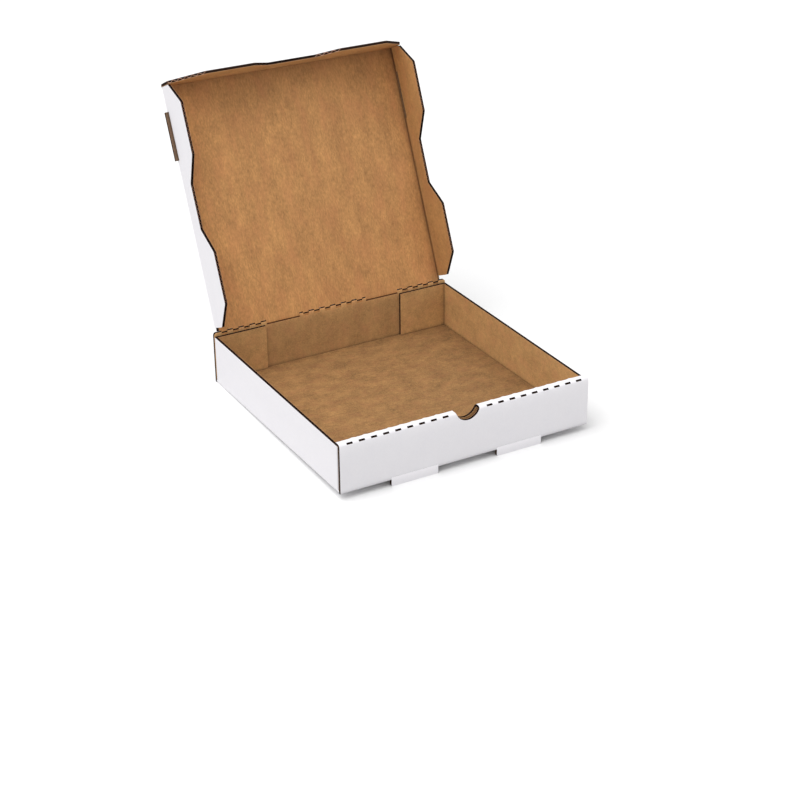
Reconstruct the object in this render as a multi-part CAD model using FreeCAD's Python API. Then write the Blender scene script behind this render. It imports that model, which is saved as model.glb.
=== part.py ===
"""Die-cut corrugated pizza box, standing open.

The tray is one folded sheet: floor, four walls, corner flaps and a front wall that rolls over
to the inside and locks with two tabs in the floor. The lid hangs on the back wall by a
castellated crease and carries three flaps of its own.

Row frame: X across the box, Y from front to back, Z up. The origin is the middle of the
tray's underside. All sizes are in millimetres.
"""
import FreeCAD, Part
import math
import os

Vector = FreeCAD.Vector

# Board and clearances
board = 2.8                # thickness of the corrugated board
ply_gap = 0.2              # air between layers that lie on each other
edge_gap = 0.4             # air round an edge that drops in beside another
hinge_gap = 0.05           # air at the tip of a creased edge
fold_radius = 1.4          # outside radius of the tray's folds
corner_radius = 2.5        # rounding of the flaps' die-cut corners

# Tray
tray_width = 260.0
tray_depth = 260.0
tray_height = 49.0         # to the top of the rolled front edge
front_corner_flap = 90.0   # length of the flap inside the rolled front
rear_corner_flap = 54.4    # length of the flap inside the back wall

# Front lock
lock_inner = 31.0          # from the middle to a foot's inner end
lock_length = 48.0         # length of a foot, and of its slot in the floor
foot_drop = 6.2            # how far a foot stands below the floor
tab_drop = 3.6             # how far a tab stands below the inner panel
tab_chamfer = 3.0
notch_radius = 12.7        # thumb hole, struck from the middle of the rolled edge

# Cut creases
slit_length = 5.9
slit_pitch = 12.07
slit_width = 0.9
slit_margin = 7.5          # from the tray's side to the first slit of the rolled edge
slits_each_side = 9
lip_height = 1.7           # teeth of the lid's crease, above its axis
lips_in_middle = 5
lip_end_length = 3.9       # short tooth at each end of the middle group
lips_at_side = 4
lip_side_margin = 56.3     # from the tray's side to the first tooth of a side group

# Lid, measured from its crease axis and from its outer face
lid_lean = 23.5            # degrees past upright
lid_side_gap = 3.2         # from the tray's side to the lid's side
lid_front_gap = 5.8        # from the inner panel to the lid's front crease when shut
fold_limit = 93.0          # degrees, as far as a crease bends from flat
front_fold = 88.0          # degrees, how far the front flap is folded at rest
side_fold = 90.0
lug_start = 170.0          # lug that rests on the tray's side wall
lug_length = 47.0
lug_reach = 2.8

# Side flap outline: distance from the crease axis, and depth
side_rear_end = 6.0
side_rear_depth = 19.0
side_lobe_depth = 40.0
side_waist_depth = 20.0
side_front_depth = 17.5
side_rear_lobe = (28.0, 78.0)
side_waist = (101.0, 145.5)
side_front_lobe = (171.5, 221.5)

# Front flap outline: distance from the middle, and depth
front_end_depth = 17.5
front_lobe_depth = 44.4
front_waist_depth = 29.0
front_lobe = (46.3, 97.6)
front_waist = 25.5
front_end_gap = 0.3        # from a side flap's front end to the front flap's inner face

# Worked out from the sizes above
half_width = tray_width / 2
front_y = -tray_depth / 2
back_y = tray_depth / 2
roll_width = 3 * board + 2 * ply_gap
roll_y = front_y + roll_width
ply_y = front_y + board + ply_gap
rear_ply_y = back_y - board - ply_gap
wall_foot = board + ply_gap
side_front_height = tray_height - board - ply_gap
side_rear_height = tray_height - ply_gap
hinge_y = back_y - board / 2
hinge_z = tray_height + ply_gap + board / 2
bevel = board / 2 * math.tan(math.radians(fold_limit / 2))
mitre = board * math.tan(math.radians(fold_limit / 2))
half_lid = half_width - lid_side_gap
lid_length = hinge_y - roll_y - lid_front_gap
side_front_end = lid_length - board - front_end_gap


def rounded_face(corners):
    """Flat face through corners given as (point, radius), each turned with a tangent arc."""
    starts, ends, arcs = [], [], []
    for index, (point, radius) in enumerate(corners):
        towards_last = corners[index - 1][0].sub(point).normalize()
        towards_next = corners[(index + 1) % len(corners)][0].sub(point).normalize()
        if radius == 0:
            starts.append(point)
            ends.append(point)
            arcs.append(None)
            continue
        half_angle = towards_last.getAngle(towards_next) / 2
        reach = radius / math.tan(half_angle)
        bisector = towards_last.add(towards_next).normalize()
        crown = point.add(bisector.multiply(radius / math.sin(half_angle) - radius))
        starts.append(point.add(towards_last.multiply(reach)))
        ends.append(point.add(towards_next.multiply(reach)))
        arcs.append(Part.Arc(starts[-1], crown, ends[-1]).toShape())
    edges = []
    for index, arc in enumerate(arcs):
        if arc:
            edges.append(arc)
        edges.append(Part.makeLine(ends[index], starts[(index + 1) % len(corners)]))
    return Part.Face(Part.Wire(edges))


def section_yz(corners, x_start, x_end):
    """Profile in the YZ plane, corners as (y, z, radius), carried along X."""
    face = rounded_face([(Vector(x_start, y, z), radius) for y, z, radius in corners])
    return face.extrude(Vector(x_end - x_start, 0, 0))


def section_xz(corners, y_start, y_end):
    """Profile in the XZ plane, corners as (x, z, radius), carried along Y."""
    face = rounded_face([(Vector(x, y_start, z), radius) for x, z, radius in corners])
    return face.extrude(Vector(0, y_end - y_start, 0))


def section_xy(corners, z_start, z_end):
    """Profile in the XY plane, corners as (x, y, radius), carried along Z."""
    face = rounded_face([(Vector(x, y, z_start), radius) for x, y, radius in corners])
    return face.extrude(Vector(0, 0, z_end - z_start))


def block(x_span, y_span, z_span):
    """Box between the low and high value of each axis."""
    low = Vector(x_span[0], y_span[0], z_span[0])
    return Part.makeBox(x_span[1] - x_span[0], y_span[1] - y_span[0], z_span[1] - z_span[0], low)


def mirrored(shape):
    """The same shape on the other side of the middle plane."""
    return shape.mirror(Vector(0, 0, 0), Vector(1, 0, 0))


def both_sides(shape):
    """A right-hand shape together with its left-hand twin."""
    return [shape, mirrored(shape)]


# Crease teeth: the tray's lips and the lid's notches stand at the same places
def lip_spans():
    """Start and end of each tooth along X: a middle group that ends in short teeth, and two side
    groups whose last tooth runs out to the tray's side."""
    middle = [(index - (lips_in_middle - 1) / 2) * slit_pitch for index in range(lips_in_middle)]
    spans = [(centre - slit_length / 2, centre + slit_length / 2) for centre in middle]
    short_start = (lips_in_middle + 1) / 2 * slit_pitch - slit_length / 2
    right = [(short_start, short_start + lip_end_length)]
    for index in range(lips_at_side):
        start = half_width - lip_side_margin + index * slit_pitch
        right.append((start, start + slit_length))
    right.append((half_width - lip_side_margin + lips_at_side * slit_pitch, half_width))
    return spans + right + [(-end, -start) for start, end in right]


# Tray
def floor_and_side_folds():
    """Floor with the folds of both side walls, up to where the corner flaps begin."""
    inside = half_width - board
    corners = [(-half_width, wall_foot, 0), (-half_width, 0, fold_radius), (half_width, 0, fold_radius),
               (half_width, wall_foot, 0), (inside, wall_foot, 0), (inside, board, 0),
               (-inside, board, 0), (-inside, wall_foot, 0)]
    return section_xz(corners, ply_y, rear_ply_y)


def side_wall():
    """Right side wall with its two corner flaps, sloping down to pass under the rolled edge."""
    inside = half_width - board
    front_end = half_width - front_corner_flap
    rear_end = half_width - rear_corner_flap
    corners = [(front_end, ply_y, 0), (half_width, ply_y, fold_radius), (half_width, rear_ply_y, fold_radius),
               (rear_end, rear_ply_y, 0), (rear_end, rear_ply_y - board, 0), (inside, rear_ply_y - board, 0),
               (inside, ply_y + board, 0), (front_end, ply_y + board, 0)]
    wall = section_xy(corners, wall_foot, tray_height)
    slope_start = roll_y + ply_gap
    above = [(front_y, side_front_height, 0), (slope_start, side_front_height, 0),
             (rear_ply_y - board, side_rear_height, 0), (back_y, side_rear_height, 0),
             (back_y, 2 * tray_height, 0), (front_y, 2 * tray_height, 0)]
    return wall.cut(section_yz(above, 0, tray_width))


def crease_slit(x_centre, y_corner, inward):
    """Thin cut through a bend of the rolled edge, on the diagonal of the corner."""
    depth = 2 * board
    cut = Part.makeBox(slit_length, depth, slit_width, Vector(-slit_length / 2, -depth / 2, -slit_width / 2))
    cut.rotate(Vector(0, 0, 0), Vector(1, 0, 0), -45 * inward)
    cut.translate(Vector(x_centre, y_corner + inward * board / 2, tray_height - board / 2))
    return cut


def rolled_front():
    """Front wall, rolled edge and inner panel as one strip of board, with its slits and tabs."""
    panel_back = roll_y - board
    corners = [(front_y, 0, fold_radius), (front_y, tray_height, board), (roll_y, tray_height, board),
               (roll_y, wall_foot, 0), (panel_back, wall_foot, 0), (panel_back, tray_height - board, 0),
               (front_y + board, tray_height - board, 0), (front_y + board, board, 0),
               (ply_y, board, 0), (ply_y, 0, 0)]
    roll = section_yz(corners, -half_width, half_width)
    cuts = []
    # The inner panel stops short of the side walls
    panel_end = half_width - board - edge_gap
    for end in both_sides(block((panel_end, half_width + 1), (ply_y, roll_y + 1), (board, tray_height - board))):
        cuts.append(end)
    for index in range(slits_each_side):
        centre = half_width - slit_margin - slit_length / 2 - index * slit_pitch
        for x_centre in (centre, -centre):
            cuts.append(crease_slit(x_centre, front_y, 1))
            cuts.append(crease_slit(x_centre, roll_y, -1))
    # The thumb hole is one round hole in the flat sheet, folded over both creases
    middle_y = (front_y + roll_y) / 2
    hole_z = tray_height - board / 2 + roll_width / 2
    cuts.append(Part.makeCylinder(notch_radius, roll_width + 2, Vector(0, front_y - 1, hole_z), Vector(0, 1, 0)))
    cuts.append(Part.makeCylinder(notch_radius, 2 * board, Vector(0, middle_y, tray_height - board)))
    return roll.cut(Part.makeCompound(cuts))


def lock_tab():
    """Right tab of the inner panel, which drops into the floor slot."""
    inner, outer = lock_inner + edge_gap, lock_inner + lock_length - edge_gap
    low, top = wall_foot - tab_drop, wall_foot
    corners = [(inner, top, 0), (inner, low + tab_chamfer, 0), (inner + tab_chamfer, low, 0),
               (outer - tab_chamfer, low, 0), (outer, low + tab_chamfer, 0), (outer, top, 0)]
    return section_xz(corners, roll_y - board, roll_y)


def foot():
    """Right foot: a piece of the floor that stays in line with the front wall and stands down."""
    inner, outer = lock_inner, lock_inner + lock_length
    corners = [(inner, board, 0), (inner, -foot_drop, corner_radius / 2),
               (outer, -foot_drop, corner_radius / 2), (outer, board, 0)]
    return section_xz(corners, front_y, front_y + board)


def floor_slot():
    """Opening that the right foot leaves in the floor, and that holds the tab."""
    return block((lock_inner, lock_inner + lock_length), (front_y + board, roll_y + ply_gap), (-1, wall_foot))


def back_wall():
    """Back wall with its pointed crease edge and the teeth of the lid's crease."""
    top = hinge_z - hinge_gap
    corners = [(rear_ply_y, 0, 0), (back_y, 0, fold_radius), (back_y, top - bevel, 0), (hinge_y, top, 0),
               (back_y - board, top - bevel, 0), (back_y - board, board, 0), (rear_ply_y, board, 0)]
    wall = section_yz(corners, -half_width, half_width)
    lips = [block(span, (back_y - board, back_y), (top - bevel, hinge_z + lip_height)) for span in lip_spans()]
    wall = wall.fuse(lips)
    corner = [(half_width + 1, top - bevel, 0), (half_width + 1, hinge_z + lip_height + 1, 0),
              (half_lid, hinge_z + lip_height + 1, 0), (half_lid, hinge_z + lip_height, 0),
              (half_width, hinge_z + lip_height, corner_radius), (half_width, top - bevel, 0)]
    rounding = section_xz(corner, rear_ply_y, back_y + 1)
    return wall.cut(both_sides(rounding))


def tray():
    """The folded sheet as one solid."""
    slots = Part.makeCompound(both_sides(floor_slot()))
    front = rolled_front().fuse(both_sides(lock_tab()))
    base = floor_and_side_folds().cut(slots)
    front_stub = block((lock_inner, lock_inner + lock_length), (front_y + board, ply_y), (-1, wall_foot))
    front = front.cut(Part.makeCompound(both_sides(front_stub)))
    parts = [front, back_wall()] + both_sides(side_wall()) + both_sides(foot())
    return base.fuse(parts).removeSplitter()


# Lid, built flat with Y along the lid and Z towards its inside, then leaned back
def lean_back(shape):
    """Put a lid piece from its flat frame on the crease axis, leaning past upright."""
    shape.rotate(Vector(0, 0, 0), Vector(1, 0, 0), 90 - lid_lean)
    shape.translate(Vector(0, hinge_y, hinge_z))
    return shape


def flat_board(corners):
    """Die-cut piece of board in the lid's flat frame, corners as (x, y, radius)."""
    return section_xy(corners, -board / 2, board / 2)


def lug_span(gap):
    """Start and end of the lug along the lid, widened by a gap."""
    return lug_start - gap, lug_start + lug_length + gap


def lid_panel():
    """Lid panel with mitred edges, a pointed crease edge, tooth notches and two lugs."""
    panel = block((-half_lid, half_lid), (0, lid_length), (-board / 2, board / 2))
    tip = hinge_gap
    wedge_above = section_yz([(-1, 0, 0), (tip, 0, 0), (tip + bevel, board / 2, 0), (tip + bevel, board, 0),
                              (-1, board, 0)], -half_width, half_width)
    wedge_below = wedge_above.mirror(Vector(0, 0, 0), Vector(0, 0, 1))
    side_mitre = section_xz([(half_lid, -board / 2, 0), (half_lid - mitre, board / 2, 0),
                             (half_lid - mitre, board, 0), (half_lid + 1, board, 0),
                             (half_lid + 1, -board / 2, 0)], -1, lid_length + 1)
    front_mitre = section_yz([(lid_length, -board / 2, 0), (lid_length - mitre, board / 2, 0),
                              (lid_length - mitre, board, 0), (lid_length + 1, board, 0),
                              (lid_length + 1, -board / 2, 0)], -half_width, half_width)
    notch_depth = math.hypot(lip_height, board / 2) + edge_gap
    notches = [block((start - ply_gap, end + ply_gap), (-1, notch_depth), (-board, board))
               for start, end in lip_spans()]
    cuts = [wedge_above, wedge_below, front_mitre] + both_sides(side_mitre) + notches
    panel = panel.cut(Part.makeCompound(cuts))
    lug = block((half_lid - 2 * mitre, half_lid + lug_reach), lug_span(0), (-board / 2, board / 2))
    panel = panel.fuse(both_sides(lug)).removeSplitter()
    return lean_back(panel)


def right_flap():
    """Wavy side flap, cut flat beside the panel and folded up along its crease."""
    outline = [(side_rear_end, 0, 0), (side_rear_end, side_rear_depth, corner_radius),
               (side_rear_lobe[0], side_lobe_depth, corner_radius), (side_rear_lobe[1], side_lobe_depth, corner_radius),
               (side_waist[0], side_waist_depth, corner_radius), (side_waist[1], side_waist_depth, corner_radius),
               (side_front_lobe[0], side_lobe_depth, corner_radius),
               (side_front_lobe[1], side_lobe_depth, corner_radius),
               (side_front_end, side_front_depth, corner_radius), (side_front_end, 0, 0)]
    flap = flat_board([(half_lid + depth, along, radius) for along, depth, radius in outline])
    crease_wedge = section_xz([(half_lid, -board / 2, 0), (half_lid + mitre, board / 2, 0),
                               (half_lid + mitre, board, 0), (half_lid - 1, board, 0),
                               (half_lid - 1, -board / 2, 0)], -1, lid_length + 1)
    slot_reach = math.hypot(lug_reach, board) + edge_gap
    slot = block((half_lid - 1, half_lid + slot_reach), lug_span(edge_gap), (-board, board))
    flap = flap.cut([crease_wedge, slot])
    flap.rotate(Vector(half_lid, 0, -board / 2), Vector(0, 1, 0), -side_fold)
    return flap


def front_flap():
    """Front flap with two lobes, folded up along its crease over the side flaps' ends."""
    half_outline = [(half_lid, 0, 0), (half_lid, front_end_depth, corner_radius),
                    (front_lobe[1], front_lobe_depth, corner_radius),
                    (front_lobe[0], front_lobe_depth, corner_radius),
                    (front_waist, front_waist_depth, corner_radius)]
    outline = half_outline + [(-x, depth, radius) for x, depth, radius in reversed(half_outline)]
    flap = flat_board([(x, lid_length + depth, radius) for x, depth, radius in outline])
    crease_wedge = section_yz([(lid_length, -board / 2, 0), (lid_length + mitre, board / 2, 0),
                               (lid_length + mitre, board, 0), (lid_length - 1, board, 0),
                               (lid_length - 1, -board / 2, 0)], -half_width, half_width)
    flap = flap.cut(crease_wedge)
    flap.rotate(Vector(0, lid_length, -board / 2), Vector(1, 0, 0), front_fold)
    return lean_back(flap)


def main():
    """Build each piece and write it to its own file."""
    pieces = {
        "tray": tray(),
        "lid_panel": lid_panel(),
        "lid_right_flap": lean_back(right_flap()),
        "lid_left_flap": lean_back(mirrored(right_flap())),
        "lid_front_flap": front_flap(),
    }
    os.makedirs("parts", exist_ok=True)
    for name, shape in pieces.items():
        if len(shape.Solids) == 1:
            shape = shape.Solids[0]
        box = shape.BoundBox
        print(f"{name}: {len(shape.Solids)} solid, valid {shape.isValid()}, volume {shape.Volume:.0f}, "
              f"x {box.XMin:.1f} {box.XMax:.1f}, y {box.YMin:.1f} {box.YMax:.1f}, z {box.ZMin:.1f} {box.ZMax:.1f}")
        shape.exportStep(f"parts/{name}.step")


main()
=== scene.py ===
"""Looks of an open die-cut pizza box, one folded sheet of corrugated board.

Every panel is modelled as the sheet is made: a white outer liner, a brown kraft inner liner and
a fluted medium between them, so each cut edge shows real flute ends. Lengths below are in
millimetres and are turned into metres when a mesh is made.
"""

import math

import bpy
import numpy as np
from mathutils import Matrix, Vector


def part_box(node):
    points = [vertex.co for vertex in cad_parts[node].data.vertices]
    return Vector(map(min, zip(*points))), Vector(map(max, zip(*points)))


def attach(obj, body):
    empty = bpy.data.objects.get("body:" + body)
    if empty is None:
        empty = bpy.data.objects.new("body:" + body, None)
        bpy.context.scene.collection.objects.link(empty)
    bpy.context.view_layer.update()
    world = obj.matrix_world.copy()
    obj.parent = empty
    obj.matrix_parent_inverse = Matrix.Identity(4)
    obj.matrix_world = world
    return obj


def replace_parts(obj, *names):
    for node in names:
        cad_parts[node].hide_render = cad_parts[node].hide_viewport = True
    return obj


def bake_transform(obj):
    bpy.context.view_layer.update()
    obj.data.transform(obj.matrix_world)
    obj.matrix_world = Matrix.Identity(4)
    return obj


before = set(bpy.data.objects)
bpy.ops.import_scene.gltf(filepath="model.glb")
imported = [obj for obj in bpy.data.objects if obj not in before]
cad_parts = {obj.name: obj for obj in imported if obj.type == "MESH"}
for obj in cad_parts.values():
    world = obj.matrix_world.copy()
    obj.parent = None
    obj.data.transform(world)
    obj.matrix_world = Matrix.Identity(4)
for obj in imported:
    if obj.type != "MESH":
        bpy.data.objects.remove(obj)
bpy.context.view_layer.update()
MM = 0.001


def node_box(node):
    """Lowest and highest corner of a node, in millimetres."""
    low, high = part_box(node)
    return np.array(low) / MM, np.array(high) / MM


# Sizes that the frame gives
tray_low, tray_high = node_box("tray")
half_width = tray_high[0]
front_y, back_y = tray_low[1], tray_high[1]
foot_bottom, lip_top = tray_low[2], tray_high[2]
half_lid = node_box("lid_right_flap")[1][0]
lug_end = node_box("lid_panel")[1][0]
front_flap_end = node_box("lid_front_flap")[1][0]

# Board
board = 2.8                 # whole thickness
liner = 0.26                # thickness of each liner
medium = 0.30               # thickness of the fluted paper
flute_pitch = 4.6
flute_step = 0.42           # distance between two rows of the fluted paper
ply_gap = 0.2               # between two boards that lie on each other
edge_gap = 0.4              # round an edge that drops in beside another
slot_gap = 0.08             # between a lug and the ends of its slot
fold_radius = 1.4
fold_end = board + 0.02     # height of the first row above a fold at the floor
corner_radius = 2.5
crease_reach = 1.2          # how far a rounded crease reaches onto its panels
fold_limit = math.radians(93)

# Tray
tray_height = 49.0
roll_width = 3 * board + 2 * ply_gap
roll_y = front_y + roll_width
ply_y = front_y + board + ply_gap
rear_ply_y = back_y - board - ply_gap
wall_foot = board + ply_gap
side_front_height = tray_height - board - ply_gap
side_rear_height = tray_height - ply_gap
front_corner_flap = 90.0
rear_corner_flap = 54.4
foot_inner, foot_outer = 31.0, 79.0
tab_bottom, tab_chamfer = -0.6, 3.0
notch_radius = 12.7         # of the thumb hole
notch_foot = 4              # degrees from the hole's lowest point to its first row
front_fold_place = 88.4     # on the sheet of a side wall: its front and rear folds and its end
rear_fold_place = 339.2
side_sheet_end = 392.0

# Cut creases
slit_length, slit_pitch, slit_width = 5.9, 12.07, 2.0
slit_bulge = 0.5            # how far the rolled edge swells between two slits
slit_margin = 7.5
slits_each_side = 9
lips_in_middle, lip_end_length = 5, 3.9
lips_at_side, lip_side_margin = 4, 56.3
lip_corner_rows = (51.4, 51.9, 52.2)

# Lid
hinge_y, hinge_z = back_y - board / 2, tray_height + ply_gap + board / 2
lid_lean = math.radians(23.5)
swing_gap, front_end_gap = 5.8, 0.3
lid_length = hinge_y - roll_y - swing_gap
front_fold = math.radians(88)
mitre = board * math.tan(fold_limit / 2)
hinge_reach = 1.7           # how far the hinge's crease reaches along the wall and the lid
lug_start, lug_length = 170.0, 47.0
slot_ends = lug_start - slot_gap, lug_start + lug_length + slot_gap
lip_height = lip_top - hinge_z
notch_gap = 0.05
notch_depth = math.hypot(lip_height, board / 2) + notch_gap
valley_depth = 1.9          # from a flap's crease to the bottom of its valley of kraft paper

# Flaps of the lid: places along the crease, and depths from it
side_flap_start, side_flap_end = 6.0, lid_length - board - front_end_gap
side_start_depth, side_end_depth = 19.0, 17.5
side_flap_corner = side_flap_end + 0.2
side_lobes, side_lobe_depth = (28.0, 78.0, 171.5, 221.5), 40.0
side_waist, side_waist_depth = (101.0, 145.5), 20.0
front_end_depth = 17.5
front_lobe, front_lobe_depth = (46.3, 97.6), 44.4
front_waist, front_waist_depth = 25.5, 29.0

# Rows that divide a long panel into shorter stretches
front_wall_rows = (14.0, 26.0)
back_wall_row = 26.0
side_wall_rows = (-40.0, 40.0)
front_corner_row, rear_corner_row = 70.0, 100.0
floor_rows = (-60.0, 0.0, 60.0)
lid_rows = (30.0, 100.0, 230.0)
side_flap_rows = (50.0, 123.0, 197.0)

# Camera, fitted to the photograph
camera_azimuth, camera_elevation = math.radians(-29.454), math.radians(26.953)
camera_roll = math.radians(-0.55)
camera_distance = 1775.95
camera_target = Vector((3.663, -0.131, 1.457))
camera_lens, camera_sensor = 83.52, 36.0

# Light
lamp_direction = Vector((-0.416, -0.06, 0.907))
lamp_power, lamp_spread = 2.0, math.radians(60)
surround_strength = 0.60


# Shader groups and materials
def new_group(name, inputs, outputs):
    """Empty shader group with float or colour sockets given as (name, kind, default)."""
    group = bpy.data.node_groups.new(name, "ShaderNodeTree")
    for socket, kind, default in inputs:
        made = group.interface.new_socket(name=socket, in_out="INPUT", socket_type=kind)
        if default is not None:
            made.default_value = default
    for socket, kind in outputs:
        group.interface.new_socket(name=socket, in_out="OUTPUT", socket_type=kind)
    return group, group.nodes.new("NodeGroupInput"), group.nodes.new("NodeGroupOutput")


def add(tree, kind, settings=None, **inputs):
    """Node of a kind, with properties from settings and values or links for its inputs, which go
    by name, or by number as i0, i1 and so on."""
    node = tree.nodes.new(kind)
    for name, value in (settings or {}).items():
        setattr(node, name, value)
    for name, value in inputs.items():
        numbered = name[0] == "i" and name[1:].isdigit()
        socket = node.inputs[int(name[1:]) if numbered else name]
        if isinstance(value, bpy.types.NodeSocket):
            tree.links.new(value, socket)
        else:
            socket.default_value = value
    return node


def math_node(tree, operation, first, second=0.0, clamp=False):
    """Result socket of a Math node."""
    settings = {"operation": operation, "use_clamp": clamp}
    return add(tree, "ShaderNodeMath", settings, i0=first, i1=second).outputs[0]


def vector_node(tree, operation, first, second):
    """Result socket of a Vector Math node."""
    return add(tree, "ShaderNodeVectorMath", {"operation": operation}, i0=first, i1=second).outputs[0]


def remapped(tree, value, low, high, start, end):
    """Value socket that goes from start to end while another goes from low to high."""
    return add(tree, "ShaderNodeMapRange", {}, i0=value, i1=low, i2=high, i3=start, i4=end).outputs[0]


def noise(tree, vector, scale, detail=2.0, roughness=0.5):
    """Factor of a noise texture."""
    return add(tree, "ShaderNodeTexNoise", {}, Vector=vector, Scale=scale, Detail=detail,
               Roughness=roughness).outputs["Fac"]


def mixed(tree, factor, first, second, blend="MIX"):
    """Colour socket between two colours."""
    settings = {"data_type": "RGBA", "blend_type": blend}
    return add(tree, "ShaderNodeMix", settings, i0=factor, i6=first, i7=second).outputs[2]


def fibre_group():
    """Paper fibres: soft mottling, streaks and fine flecks, each a noise of its own scale on the
    sheet's own map, all stretched along V by the same factor."""
    group, given, result = new_group(
        "paper fibres",
        [("Sheet", "NodeSocketVector", None), ("Streak stretch", "NodeSocketFloat", 0.25)],
        [("Mottle", "NodeSocketFloat"), ("Streak", "NodeSocketFloat"), ("Fleck", "NodeSocketFloat")])
    stretch = add(group, "ShaderNodeCombineXYZ", {}, X=1.0, Y=given.outputs["Streak stretch"], Z=1.0)
    along = vector_node(group, "MULTIPLY", given.outputs["Sheet"], stretch.outputs[0])
    mottle = noise(group, along, 55.0, 3.0, 0.55)
    streak = noise(group, along, 250.0, 3.0, 0.65)
    fleck = noise(group, along, 760.0, 2.0, 0.6)
    for name, value in (("Mottle", mottle), ("Streak", streak), ("Fleck", fleck)):
        group.links.new(value, result.inputs[name])
    return group


def flute_group():
    """Washboard of the liner over the flutes: a sine across the flutes, as a height from -1 to 1."""
    group, given, result = new_group("flute ridges", [("Sheet", "NodeSocketVector", None)],
                                     [("Height", "NodeSocketFloat")])
    across = add(group, "ShaderNodeSeparateXYZ", {}, Vector=given.outputs["Sheet"]).outputs[1]
    turns = math_node(group, "MULTIPLY", across, 2 * math.pi / (flute_pitch * MM))
    group.links.new(math_node(group, "SINE", turns), result.inputs["Height"])
    return group


def shade_group():
    """Painted shade and painted light beside the creases that bound a panel: a negative amount paints
    shade, a positive one paints light.

    Left and Right are places along U of the sheet's map, Near, Middle and Far along V. Each has
    an amount and a reach. Beside it the factor is one plus the amount times a falling exponential
    of the distance over the reach, and the five factors are multiplied.
    """
    sides = ("Left", "Right", "Near", "Middle", "Far")
    inputs = [("Sheet", "NodeSocketVector", None)]
    for side in sides:
        inputs += [(side + word, "NodeSocketFloat", start)
                   for word, start in ((" place", 0.0), (" amount", 0.0), (" reach", 0.01))]
    group, given, result = new_group("crease shade", inputs, [("Factor", "NodeSocketFloat")])
    place = add(group, "ShaderNodeSeparateXYZ", {}, Vector=given.outputs["Sheet"])
    factor = None
    for side, axis in zip(sides, (0, 0, 1, 1, 1)):
        centre, amount, reach = [given.outputs[side + word] for word in (" place", " amount", " reach")]
        away = math_node(group, "SUBTRACT", place.outputs[axis], centre)
        away = math_node(group, "DIVIDE", math_node(group, "ABSOLUTE", away), reach)
        fall = math_node(group, "EXPONENT", math_node(group, "MULTIPLY", away, -1.0))
        part = math_node(group, "ADD", math_node(group, "MULTIPLY", fall, amount), 1.0)
        factor = part if factor is None else math_node(group, "MULTIPLY", factor, part)
    group.links.new(factor, result.inputs["Factor"])
    return group


FIBRES = fibre_group()
RIDGES = flute_group()
SHADE = shade_group()


def paper(name, light, dark, warm, roughness, stretch=0.25, mottle=0.3, warmth=0.35, streak=0.35,
          ridge=0.02, tooth=0.04, creases=None):
    """Matt paper: a light and a dark tone mixed by mottling and streaks, with a warm tone in patches.

    mottle, streak and warmth say how much the patches, the strokes and the warm tone count, and
    ridge and tooth how much the washboard and the flecks count in the bump. creases gives
    (place, amount, reach) of painted shade and painted light for some sides of the panel, with place and
    reach in millimetres.
    """
    material = bpy.data.materials.new(name)
    material.use_nodes = True
    tree = material.node_tree
    shader = tree.nodes["Principled BSDF"]
    sheet = add(tree, "ShaderNodeUVMap", {"uv_map": "sheet"}).outputs[0]
    fibres = add(tree, "ShaderNodeGroup", {"node_tree": FIBRES}, i0=sheet, i1=stretch)
    ridges = add(tree, "ShaderNodeGroup", {"node_tree": RIDGES}, Sheet=sheet)
    patches = remapped(tree, fibres.outputs["Mottle"], 0.3, 0.7, 0.0, mottle)
    strokes = remapped(tree, fibres.outputs["Streak"], 0.25, 0.75, 0.0, streak)
    flecks = remapped(tree, fibres.outputs["Fleck"], 0.3, 0.7, 0.0, max(0.0, 1.0 - mottle - streak))
    share = math_node(tree, "ADD", patches, strokes)
    share = math_node(tree, "ADD", share, flecks, clamp=True)
    base = mixed(tree, share, dark, light)
    shifted = vector_node(tree, "ADD", sheet, (0.37, 0.11, 0.0))
    blush = noise(tree, vector_node(tree, "MULTIPLY", shifted, (1.0, stretch, 1.0)), 75.0, 2.0, 0.5)
    base = mixed(tree, remapped(tree, blush, 0.45, 0.72, 0.0, warmth), base, warm)
    # Painted shade and painted light beside the panel's creases, multiplied into the colour
    if creases:
        shade = add(tree, "ShaderNodeGroup", {"node_tree": SHADE}, Sheet=sheet)
        for side, (place, amount, reach) in creases.items():
            shade.inputs[side + " place"].default_value = place * MM
            shade.inputs[side + " amount"].default_value = amount
            shade.inputs[side + " reach"].default_value = reach * MM
        base = mixed(tree, 1.0, base, shade.outputs[0], "MULTIPLY")
    tree.links.new(base, shader.inputs["Base Color"])
    height = math_node(tree, "MULTIPLY", ridges.outputs["Height"], ridge)
    height = math_node(tree, "ADD", height, math_node(tree, "MULTIPLY", fibres.outputs["Fleck"], tooth))
    bump = add(tree, "ShaderNodeBump", {}, Strength=0.6, Distance=0.0004, Height=height)
    tree.links.new(bump.outputs[0], shader.inputs["Normal"])
    rough = remapped(tree, fibres.outputs["Streak"], 0.3, 0.7, roughness - 0.05, roughness + 0.05)
    tree.links.new(rough, shader.inputs["Roughness"])
    shader.inputs["Specular IOR Level"].default_value = 0.25
    return material


def tone(red, green, blue):
    """Screen values from 0 to 255 as a linear colour."""
    values = [channel / 255 for channel in (red, green, blue)]
    return [v / 12.92 if v <= 0.04045 else ((v + 0.055) / 1.055) ** 2.4 for v in values] + [1.0]


def white(name, creases=None):
    """White outer liner."""
    return paper(name, tone(238, 236, 239), tone(232, 230, 234), tone(238, 235, 237), 0.55,
                 stretch=0.6, warmth=0.2, ridge=0.012, tooth=0.02, creases=creases)


def kraft(name, red, green, blue, stretch, spread, creases=None):
    """Kraft paper round a middle tone, with lighter, darker and redder fibres."""
    high, low = 1 + spread, 1 - spread
    light = tone(red * high, green * high, blue * high)
    dark = tone(red * low * 1.03, green * low, blue * low)
    warm = tone(red * 1.08, green * 0.97, blue * 1.04)
    return paper(name, light, dark, warm, 0.72, stretch=stretch, creases=creases)


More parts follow.
